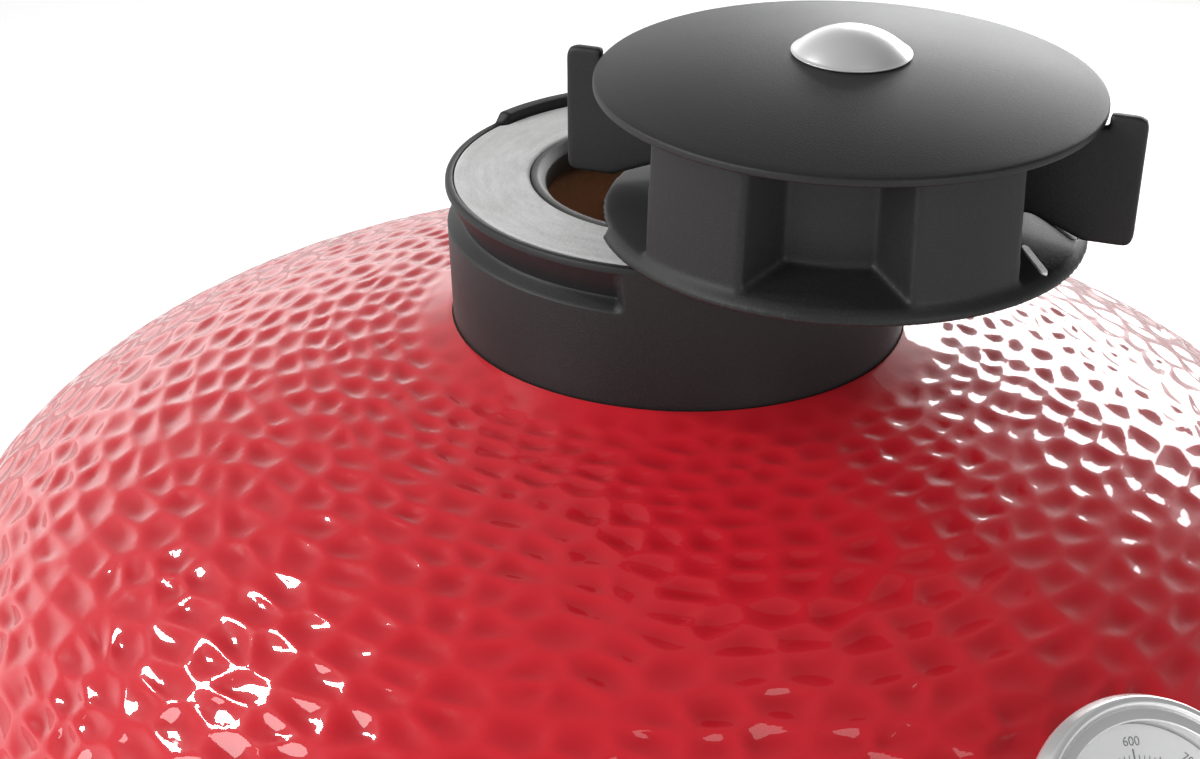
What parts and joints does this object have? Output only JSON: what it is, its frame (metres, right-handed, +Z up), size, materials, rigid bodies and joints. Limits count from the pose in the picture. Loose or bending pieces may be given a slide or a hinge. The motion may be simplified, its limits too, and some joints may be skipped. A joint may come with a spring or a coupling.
{
  "type": "kamado ceramic grill",
  "caption": "Egg-shaped ceramic charcoal grill with a hinged domed lid, steel bands, a dome thermometer, a swing-open top vent and a lower draft drawer.",
  "frame": {"origin": "on the ground under the axis of the dome, at the centre of the feet", "axes": "+Z up, -Y towards the handle and draft port at the front, +X towards the right seen from behind the handle"},
  "size_m": [0.5312, 0.672, 0.7245],
  "materials": {
    "red_glaze": "glossy hammered glaze",
    "fire_clay": "raw refractory",
    "felt": "fibrous",
    "cast_black": "black powder coat on cast aluminium",
    "stainless": "brushed",
    "chrome": "polished",
    "cast_iron": "rough",
    "grip": "satin",
    "dial_face": "satin",
    "needle_red": "satin",
    "lens": "clear"
  },
  "bodies": {
    "base": {"bowl_shell": "red_glaze", "foot_1": "fire_clay", "foot_2": "fire_clay", "foot_3": "fire_clay", "bowl_gasket": "felt", "firebox_base": "fire_clay", "firebox_wall": "fire_clay", "fire_ring": "fire_clay", "charcoal_grate": "cast_iron", "cooking_rack": "stainless", "deflector_left": "fire_clay", "deflector_right": "fire_clay", "cooking_grate_left": "stainless", "cooking_grate_right": "stainless", "lower_band": "stainless", "lower_band_bolt": "stainless", "lower_band_nut": "stainless", "hinge_base_bracket": "stainless", "hinge_pin": "stainless", "torsion_spring_left": "stainless", "torsion_spring_right": "stainless", "hinge_nut_lower_left": "stainless", "hinge_nut_lower_right": "stainless", "latch_keeper": "stainless", "draft_frame": "stainless"},
    "dome": {"dome_shell": "red_glaze", "dome_gasket": "felt", "upper_band": "stainless", "upper_band_bolt": "stainless", "upper_band_nut": "stainless", "hinge_dome_bracket": "stainless", "hinge_nut_upper_left": "stainless", "hinge_nut_upper_right": "stainless", "handle_grip": "grip", "handle_arm_left": "stainless", "handle_arm_right": "stainless", "latch_bracket": "stainless", "latch_pin": "stainless", "gauge_case": "chrome", "gauge_dial": "dial_face", "gauge_lens": "lens", "gauge_stem": "stainless", "gauge_nut": "stainless", "vent_ring": "cast_black", "vent_felt": "felt", "neck_sleeve": "felt", "vent_pivot_bolt": "stainless", "vent_pivot_nut": "stainless"},
    "tower": {"tower_body": "cast_black", "tower_cap": "cast_black", "cap_nut": "chrome", "tower_bolt": "stainless"},
    "damper": {"damper": "cast_black"},
    "needle": {"gauge_needle": "needle_red"},
    "latch": {"latch_lever": "stainless"},
    "drawer": {"ash_drawer": "stainless", "ember_screen": "stainless"},
    "draft_slider": {"draft_door": "stainless", "draft_knob": "grip"}
  },
  "joints": [
    {"name": "dome_hinge", "type": "hinge", "parent": "base", "child": "dome", "pos_m": [0, 0.322, 0.3715], "axis": [-1, 0, 0], "range_deg": [0, 75]},
    {"name": "tower_swing", "type": "hinge", "parent": "dome", "child": "tower", "pos_m": [0.08657, -0.01526, 0.66], "axis": [0, 0, 1], "range_deg": [-46, 30]},
    {"name": "damper_turn", "type": "hinge", "parent": "tower", "child": "damper", "pos_m": [0.01545, -0.06693, 0.68], "axis": [0, 0, 1], "range_deg": [-26, 45]},
    {"name": "needle_turn", "type": "hinge", "parent": "dome", "child": "needle", "pos_m": [0, -0.2387, 0.536], "axis": [0, -0.7071, 0.7071], "range_deg": [-270, 30], "stiffness_Nm_per_rad": 0.01},
    {"name": "latch_hinge", "type": "hinge", "parent": "dome", "child": "latch", "pos_m": [0, -0.2746, 0.3899], "axis": [1, 0, 0], "range_deg": [-35, 25]},
    {"name": "drawer_slide", "type": "slide", "parent": "base", "child": "drawer", "axis": [0, -1, 0], "range_m": [0, 0.12]},
    {"name": "draft_slide", "type": "slide", "parent": "drawer", "child": "draft_slider", "axis": [1, 0, 0], "range_m": [0, 0.05]}
  ]
}
